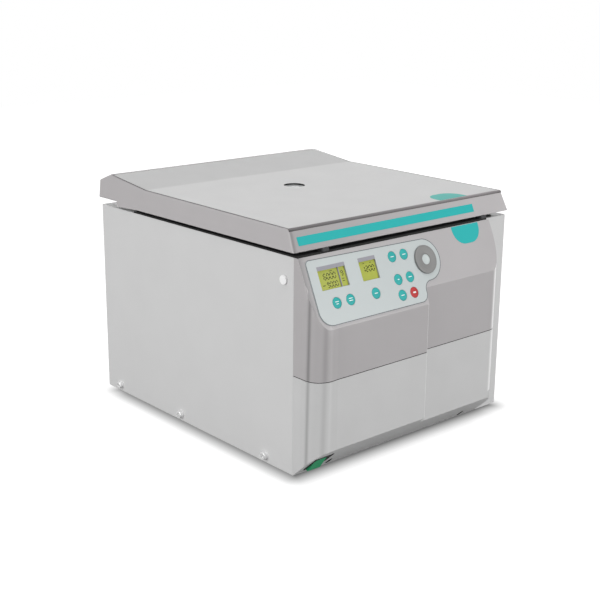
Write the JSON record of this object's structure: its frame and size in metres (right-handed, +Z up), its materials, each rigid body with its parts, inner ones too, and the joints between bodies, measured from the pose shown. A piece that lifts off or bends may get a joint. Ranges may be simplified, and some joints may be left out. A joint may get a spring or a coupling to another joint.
{
  "type": "microplate centrifuge",
  "caption": "Benchtop centrifuge for microplates: square housing with sloped control fascia, hinged lid, round chamber and swing-out rotor with plate carriers",
  "frame": {"origin": "centre of the footprint box, on the floor plane", "axes": "+Z up, the control fascia faces -Y, +Y is depth towards the lid hinge, +X to the right of a person facing the front"},
  "size_m": [0.4142, 0.4842, 0.3533],
  "materials": {
    "base_pan": "fine brushed",
    "side_panel_left": "smooth semi-matt powder coat",
    "side_panel_right": "smooth semi-matt powder coat",
    "rear_panel": "smooth semi-matt powder coat",
    "top_deck": "smooth semi-matt powder coat",
    "rim_trim": "matt",
    "lid_buffers": "matt",
    "fascia_upper": "fine matt",
    "fascia_lower": "fine matt",
    "front_bulkhead": "fine brushed",
    "control_board": "fine matt",
    "drive_board": "fine matt",
    "drive_heatsink": "satin anodised",
    "mains_inlet": "fine matt",
    "rubber_feet": "matt",
    "side_screws": "fine brushed",
    "lock_units": "fine brushed",
    "hinge_brackets": "fine brushed",
    "control_membrane": "fine matt",
    "display_speed": "smooth gloss",
    "display_time": "smooth gloss",
    "keypad_board": "fine matt",
    "dial_encoder": "fine matt",
    "switch_frame": "fine matt",
    "guard_ring": "painted rough",
    "chamber_wall": "fine brushed",
    "chamber_floor": "fine brushed",
    "bowl_gasket": "matt",
    "rubber_mounts": "matt",
    "motor_plate": "fine brushed",
    "motor_body": "satin anodised",
    "bearing_neck": "satin anodised",
    "lid_frame": "fine matt",
    "lid_top_plate": "fine matt",
    "sight_glass": "clear",
    "lid_liner": "fine brushed",
    "lid_seal": "matt",
    "lid_strikers": "fine brushed",
    "lid_hinge_lugs": "fine brushed",
    "hinge_pins": "fine brushed",
    "motor_shaft": "fine brushed",
    "rotor_hub": "satin anodised",
    "rotor_yoke": "satin anodised",
    "trunnion_pins": "fine brushed",
    "rotor_nut": "fine brushed",
    "plate_carrier_a": "satin anodised",
    "plate_carrier_b": "satin anodised",
    "speed_dial": "fine matt",
    "dial_cap": "fine matt",
    "power_rocker": "smooth gloss",
    "release_plug": "smooth gloss",
    "key_lid": "fine matt",
    "key_program": "fine matt",
    "key_time": "fine matt",
    "key_temperature": "fine matt",
    "key_radius": "fine matt",
    "key_brake": "fine matt",
    "key_quick_run": "fine matt",
    "key_start": "fine matt",
    "key_stop": "fine matt"
  },
  "bodies": {
    "housing": {"base_pan": "base_pan", "side_panel_left": "side_panel_left", "side_panel_right": "side_panel_right", "rear_panel": "rear_panel", "top_deck": "top_deck", "rim_trim": "rim_trim", "lid_buffers": "lid_buffers", "fascia_upper": "fascia_upper", "fascia_lower": "fascia_lower", "front_bulkhead": "front_bulkhead", "control_board": "control_board", "drive_board": "drive_board", "drive_heatsink": "drive_heatsink", "mains_inlet": "mains_inlet", "rubber_feet": "rubber_feet", "side_screws": "side_screws", "lock_units": "lock_units", "hinge_brackets": "hinge_brackets", "control_membrane": "control_membrane", "display_speed": "display_speed", "display_time": "display_time", "keypad_board": "keypad_board", "dial_encoder": "dial_encoder", "switch_frame": "switch_frame", "guard_ring": "guard_ring", "chamber_wall": "chamber_wall", "chamber_floor": "chamber_floor", "bowl_gasket": "bowl_gasket", "rubber_mounts": "rubber_mounts", "motor_plate": "motor_plate", "motor_body": "motor_body", "bearing_neck": "bearing_neck"},
    "lid": {"lid_frame": "lid_frame", "lid_top_plate": "lid_top_plate", "sight_glass": "sight_glass", "lid_liner": "lid_liner", "lid_seal": "lid_seal", "lid_strikers": "lid_strikers", "lid_hinge_lugs": "lid_hinge_lugs", "hinge_pins": "hinge_pins"},
    "rotor": {"motor_shaft": "motor_shaft", "rotor_hub": "rotor_hub", "rotor_yoke": "rotor_yoke", "trunnion_pins": "trunnion_pins", "rotor_nut": "rotor_nut"},
    "carrier_a": {"plate_carrier_a": "plate_carrier_a"},
    "carrier_b": {"plate_carrier_b": "plate_carrier_b"},
    "dial": {"speed_dial": "speed_dial", "dial_cap": "dial_cap"},
    "rocker": {"power_rocker": "power_rocker"},
    "plug": {"release_plug": "release_plug"},
    "key_lid_body": {"key_lid": "key_lid"},
    "key_program_body": {"key_program": "key_program"},
    "key_time_body": {"key_time": "key_time"},
    "key_temperature_body": {"key_temperature": "key_temperature"},
    "key_radius_body": {"key_radius": "key_radius"},
    "key_brake_body": {"key_brake": "key_brake"},
    "key_quick_run_body": {"key_quick_run": "key_quick_run"},
    "key_start_body": {"key_start": "key_start"},
    "key_stop_body": {"key_stop": "key_stop"}
  },
  "joints": [
    {"name": "lid_hinge", "type": "hinge", "parent": "housing", "child": "lid", "pos_m": [0, 0.2289, 0.329], "axis": [-1, 0, 0], "range_deg": [0, 75]},
    {"name": "rotor_spin", "type": "hinge", "parent": "housing", "child": "rotor", "pos_m": [0, 0.0289, 0.243], "axis": [0, 0, 1], "continuous": true},
    {"name": "carrier_a_swing", "type": "hinge", "parent": "rotor", "child": "carrier_a", "pos_m": [0.068, 0.0289, 0.243], "axis": [0, 1, 0], "range_deg": [-90, 0]},
    {"name": "carrier_b_swing", "type": "hinge", "parent": "rotor", "child": "carrier_b", "pos_m": [-0.068, 0.0289, 0.243], "axis": [0, -1, 0], "range_deg": [-90, 0]},
    {"name": "dial_turn", "type": "hinge", "parent": "housing", "child": "dial", "pos_m": [0.01, -0.21815, 0.27294], "axis": [0, -0.9111, 0.4122], "continuous": true},
    {"name": "rocker_throw", "type": "hinge", "parent": "housing", "child": "rocker", "pos_m": [-0.1788, -0.21638, 0.03987], "axis": [1, 0, 0], "range_deg": [0, 24]},
    {"name": "plug_pull", "type": "slide", "parent": "housing", "child": "plug", "axis": [-1, 0, 0], "range_m": [0, 0.02]},
    {"name": "key_lid_press", "type": "slide", "parent": "housing", "child": "key_lid_body", "axis": [0, 0.9111, -0.4122], "range_m": [0, 0.0008], "stiffness_N_per_m": 800, "springref_m": -0.0003},
    {"name": "key_program_press", "type": "slide", "parent": "housing", "child": "key_program_body", "axis": [0, 0.9111, -0.4122], "range_m": [0, 0.0008], "stiffness_N_per_m": 800, "springref_m": -0.0003},
    {"name": "key_time_press", "type": "slide", "parent": "housing", "child": "key_time_body", "axis": [0, 0.9111, -0.4122], "range_m": [0, 0.0008], "stiffness_N_per_m": 800, "springref_m": -0.0003},
    {"name": "key_temperature_press", "type": "slide", "parent": "housing", "child": "key_temperature_body", "axis": [0, 0.9111, -0.4122], "range_m": [0, 0.0008], "stiffness_N_per_m": 800, "springref_m": -0.0003},
    {"name": "key_radius_press", "type": "slide", "parent": "housing", "child": "key_radius_body", "axis": [0, 0.9111, -0.4122], "range_m": [0, 0.0008], "stiffness_N_per_m": 800, "springref_m": -0.0003},
    {"name": "key_brake_press", "type": "slide", "parent": "housing", "child": "key_brake_body", "axis": [0, 0.9111, -0.4122], "range_m": [0, 0.0008], "stiffness_N_per_m": 800, "springref_m": -0.0003},
    {"name": "key_quick_run_press", "type": "slide", "parent": "housing", "child": "key_quick_run_body", "axis": [0, 0.9111, -0.4122], "range_m": [0, 0.0008], "stiffness_N_per_m": 800, "springref_m": -0.0003},
    {"name": "key_start_press", "type": "slide", "parent": "housing", "child": "key_start_body", "axis": [0, 0.9111, -0.4122], "range_m": [0, 0.0008], "stiffness_N_per_m": 800, "springref_m": -0.0003},
    {"name": "key_stop_press", "type": "slide", "parent": "housing", "child": "key_stop_body", "axis": [0, 0.9111, -0.4122], "range_m": [0, 0.0008], "stiffness_N_per_m": 800, "springref_m": -0.0003}
  ]
}
